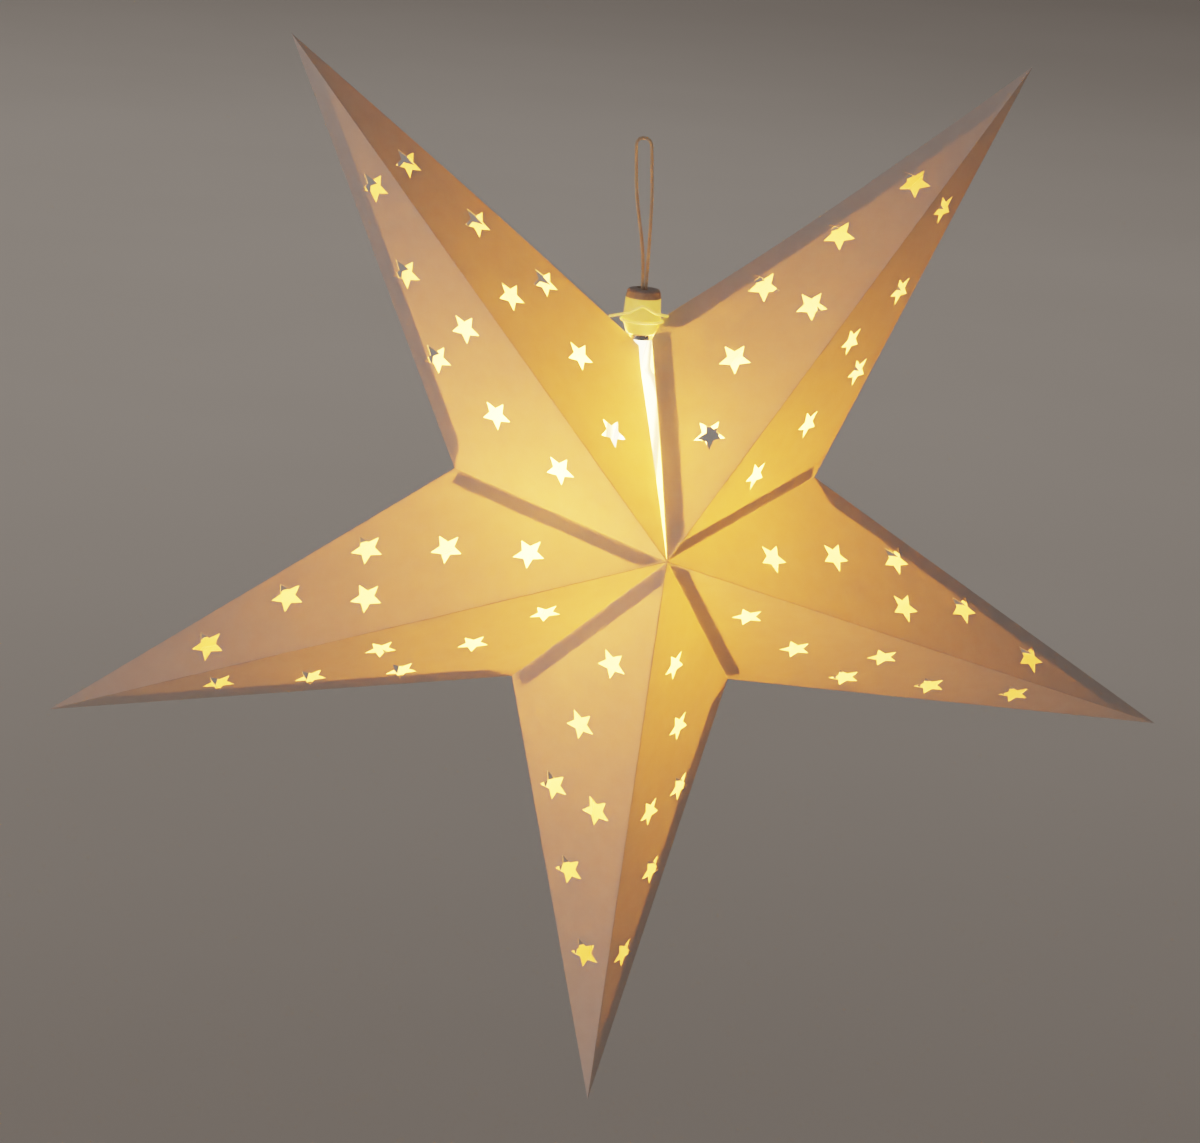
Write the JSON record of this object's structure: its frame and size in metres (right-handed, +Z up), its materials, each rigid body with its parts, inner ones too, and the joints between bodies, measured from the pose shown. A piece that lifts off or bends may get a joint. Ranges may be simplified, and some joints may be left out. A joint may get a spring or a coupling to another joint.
{
  "type": "folding paper star lantern",
  "caption": "Folding paper star lantern with star-shaped cut-outs, a lamp inside on its holder and a cord loop to hang it by.",
  "frame": {"origin": "inside of the hanging loop's top, where a hook carries it", "axes": "+Z up, the star's front faces -Y, +X to the right seen from the front"},
  "size_m": [0.5904, 0.1548, 0.5583],
  "materials": {
    "paper": "matte, uncoated, lets light through",
    "paper_tab": "matte, glued double layer",
    "holder_plastic": "satin moulded",
    "cap_plastic": "satin moulded",
    "brass": "plain",
    "steel": "zinc plated",
    "phenolic": "glazed steatite",
    "clip_wire": "white coated spring wire",
    "lamp_metal": "rolled",
    "lamp_black": "black glass",
    "lamp_glass": "clear",
    "filament": "glowing when lit",
    "cord": "twisted thin cord"
  },
  "bodies": {
    "hanger": {"hanging_loop": "cord", "loop_knot": "cord", "loop_washer": "steel", "holder_cap": "cap_plastic", "holder_body": "holder_plastic", "threaded_sleeve": "brass", "terminal_insert": "phenolic", "centre_contact": "brass", "terminal_screws": "steel", "clip_ring": "clip_wire", "clip_arms": "clip_wire", "top_right_front_panel_b": "paper", "top_right_outline_tab": "paper_tab", "seam_front_tab": "paper_tab"},
    "top_right_front_a": {"top_right_front_panel_a": "paper", "top_right_front_valley_tab": "paper_tab"},
    "top_right_back_a": {"top_right_back_panel_a": "paper", "top_right_back_valley_tab": "paper_tab"},
    "top_right_back_b": {"top_right_back_panel_b": "paper", "seam_back_tab": "paper_tab"},
    "right_front_b": {"right_front_panel_b": "paper", "right_outline_tab": "paper_tab"},
    "right_front_a": {"right_front_panel_a": "paper", "right_front_valley_tab": "paper_tab"},
    "right_back_a": {"right_back_panel_a": "paper", "right_back_valley_tab": "paper_tab"},
    "right_back_b": {"right_back_panel_b": "paper"},
    "bottom_front_b": {"bottom_front_panel_b": "paper", "bottom_outline_tab": "paper_tab"},
    "bottom_front_a": {"bottom_front_panel_a": "paper", "bottom_front_valley_tab": "paper_tab"},
    "bottom_back_a": {"bottom_back_panel_a": "paper", "bottom_back_valley_tab": "paper_tab"},
    "bottom_back_b": {"bottom_back_panel_b": "paper"},
    "left_front_b": {"left_front_panel_b": "paper", "left_outline_tab": "paper_tab"},
    "left_front_a": {"left_front_panel_a": "paper", "left_front_valley_tab": "paper_tab"},
    "left_back_a": {"left_back_panel_a": "paper", "left_back_valley_tab": "paper_tab"},
    "left_back_b": {"left_back_panel_b": "paper"},
    "top_left_front_b": {"top_left_front_panel_b": "paper", "top_left_outline_tab": "paper_tab"},
    "top_left_front_a": {"top_left_front_panel_a": "paper"},
    "top_left_back_a": {"top_left_back_panel_a": "paper"},
    "top_left_back_b": {"top_left_back_panel_b": "paper"},
    "lamp": {"lamp_screw_shell": "lamp_metal", "lamp_insulator": "lamp_black", "lamp_tip_contact": "lamp_metal", "lamp_glass": "lamp_glass", "lamp_stem": "lamp_glass", "lamp_filaments": "filament", "lamp_support_wires": "steel"}
  },
  "joints": [
    {"name": "top_right_front_ridge_fold", "type": "hinge", "parent": "hanger", "child": "top_right_front_a", "pos_m": [0.0095, -0.078, -0.2021], "axis": [0.5976, 0.2404, 0.7649], "range_deg": [0, 20]},
    {"name": "top_right_outline_fold_a", "type": "hinge", "parent": "top_right_front_a", "child": "top_right_back_a", "pos_m": [0.20343, 0, 0.04612], "axis": [-0.4074, 0, -0.9133], "range_deg": [0, 19.92]},
    {"name": "top_right_outline_fold_b", "type": "hinge", "parent": "hanger", "child": "top_right_back_b", "pos_m": [0.20343, 0, 0.04612], "axis": [0.7876, 0, 0.6162], "range_deg": [0, 19.92]},
    {"name": "top_right_front_valley_fold", "type": "hinge", "parent": "top_right_front_a", "child": "right_front_b", "pos_m": [0.0095, -0.078, -0.2021], "axis": [-0.756, -0.615, -0.2239], "range_deg": [0, 18.26]},
    {"name": "right_front_ridge_fold", "type": "hinge", "parent": "right_front_b", "child": "right_front_a", "pos_m": [0.0095, -0.078, -0.2021], "axis": [0.9178, 0.2404, -0.316], "range_deg": [0, 20]},
    {"name": "right_outline_fold_a", "type": "hinge", "parent": "right_front_a", "child": "right_back_a", "pos_m": [0.30734, 0, -0.30465], "axis": [-0.9961, 0, 0.0878], "range_deg": [0, 19.92]},
    {"name": "right_outline_fold_b", "type": "hinge", "parent": "right_front_b", "child": "right_back_b", "pos_m": [0.30734, 0, -0.30465], "axis": [0.839, 0, -0.5441], "range_deg": [0, 19.92]},
    {"name": "right_front_valley_fold", "type": "hinge", "parent": "right_front_a", "child": "bottom_front_b", "pos_m": [0.0095, -0.078, -0.2021], "axis": [-0.4579, -0.615, 0.6419], "range_deg": [0, 18.26]},
    {"name": "bottom_front_ridge_fold", "type": "hinge", "parent": "bottom_front_b", "child": "bottom_front_a", "pos_m": [0.0095, -0.078, -0.2021], "axis": [0, 0.2404, -0.9707], "range_deg": [0, 20]},
    {"name": "bottom_outline_fold_a", "type": "hinge", "parent": "bottom_front_a", "child": "bottom_back_a", "pos_m": [0.0095, 0, -0.5171], "axis": [-0.2413, 0, 0.9705], "range_deg": [0, 19.92]},
    {"name": "bottom_outline_fold_b", "type": "hinge", "parent": "bottom_front_b", "child": "bottom_back_b", "pos_m": [0.0095, 0, -0.5171], "axis": [-0.2413, 0, -0.9705], "range_deg": [0, 19.92]},
    {"name": "bottom_front_valley_fold", "type": "hinge", "parent": "bottom_front_a", "child": "left_front_b", "pos_m": [0.0095, -0.078, -0.2021], "axis": [0.4579, -0.615, 0.6419], "range_deg": [0, 18.26]},
    {"name": "left_front_ridge_fold", "type": "hinge", "parent": "left_front_b", "child": "left_front_a", "pos_m": [0.0095, -0.078, -0.2021], "axis": [-0.9178, 0.2404, -0.316], "range_deg": [0, 20]},
    {"name": "left_outline_fold_a", "type": "hinge", "parent": "left_front_a", "child": "left_back_a", "pos_m": [-0.28834, 0, -0.30465], "axis": [0.839, 0, 0.5441], "range_deg": [0, 19.92]},
    {"name": "left_outline_fold_b", "type": "hinge", "parent": "left_front_b", "child": "left_back_b", "pos_m": [-0.28834, 0, -0.30465], "axis": [-0.9961, 0, -0.0878], "range_deg": [0, 19.92]},
    {"name": "left_front_valley_fold", "type": "hinge", "parent": "left_front_a", "child": "top_left_front_b", "pos_m": [0.0095, -0.078, -0.2021], "axis": [0.756, -0.615, -0.2239], "range_deg": [0, 18.26]},
    {"name": "top_left_front_ridge_fold", "type": "hinge", "parent": "top_left_front_b", "child": "top_left_front_a", "pos_m": [0.0095, -0.078, -0.2021], "axis": [-0.5976, 0.2404, 0.7649], "range_deg": [0, 20]},
    {"name": "top_left_outline_fold_a", "type": "hinge", "parent": "top_left_front_a", "child": "top_left_back_a", "pos_m": [-0.18443, 0, 0.04612], "axis": [0.7876, 0, -0.6162], "range_deg": [0, 19.92]},
    {"name": "top_left_outline_fold_b", "type": "hinge", "parent": "top_left_front_b", "child": "top_left_back_b", "pos_m": [-0.18443, 0, 0.04612], "axis": [-0.4074, 0, 0.9133], "range_deg": [0, 19.92]},
    {"name": "lamp_screw", "type": "hinge", "parent": "hanger", "child": "lamp", "pos_m": [0.0062, 0, -0.0921], "axis": [0, 0, 1], "continuous": true}
  ],
  "couplings": [
    {"joint": "top_right_outline_fold_a", "follows": "top_right_front_ridge_fold", "ratio": 0.996},
    {"joint": "top_right_outline_fold_b", "follows": "top_right_front_ridge_fold", "ratio": 0.996},
    {"joint": "top_right_front_valley_fold", "follows": "top_right_front_ridge_fold", "ratio": 0.913},
    {"joint": "right_front_ridge_fold", "follows": "top_right_front_ridge_fold", "ratio": 1},
    {"joint": "right_outline_fold_a", "follows": "top_right_front_ridge_fold", "ratio": 0.996},
    {"joint": "right_outline_fold_b", "follows": "top_right_front_ridge_fold", "ratio": 0.996},
    {"joint": "right_front_valley_fold", "follows": "top_right_front_ridge_fold", "ratio": 0.913},
    {"joint": "bottom_front_ridge_fold", "follows": "top_right_front_ridge_fold", "ratio": 1},
    {"joint": "bottom_outline_fold_a", "follows": "top_right_front_ridge_fold", "ratio": 0.996},
    {"joint": "bottom_outline_fold_b", "follows": "top_right_front_ridge_fold", "ratio": 0.996},
    {"joint": "bottom_front_valley_fold", "follows": "top_right_front_ridge_fold", "ratio": 0.913},
    {"joint": "left_front_ridge_fold", "follows": "top_right_front_ridge_fold", "ratio": 1},
    {"joint": "left_outline_fold_a", "follows": "top_right_front_ridge_fold", "ratio": 0.996},
    {"joint": "left_outline_fold_b", "follows": "top_right_front_ridge_fold", "ratio": 0.996},
    {"joint": "left_front_valley_fold", "follows": "top_right_front_ridge_fold", "ratio": 0.913},
    {"joint": "top_left_front_ridge_fold", "follows": "top_right_front_ridge_fold", "ratio": 1},
    {"joint": "top_left_outline_fold_a", "follows": "top_right_front_ridge_fold", "ratio": 0.996},
    {"joint": "top_left_outline_fold_b", "follows": "top_right_front_ridge_fold", "ratio": 0.996}
  ]
}
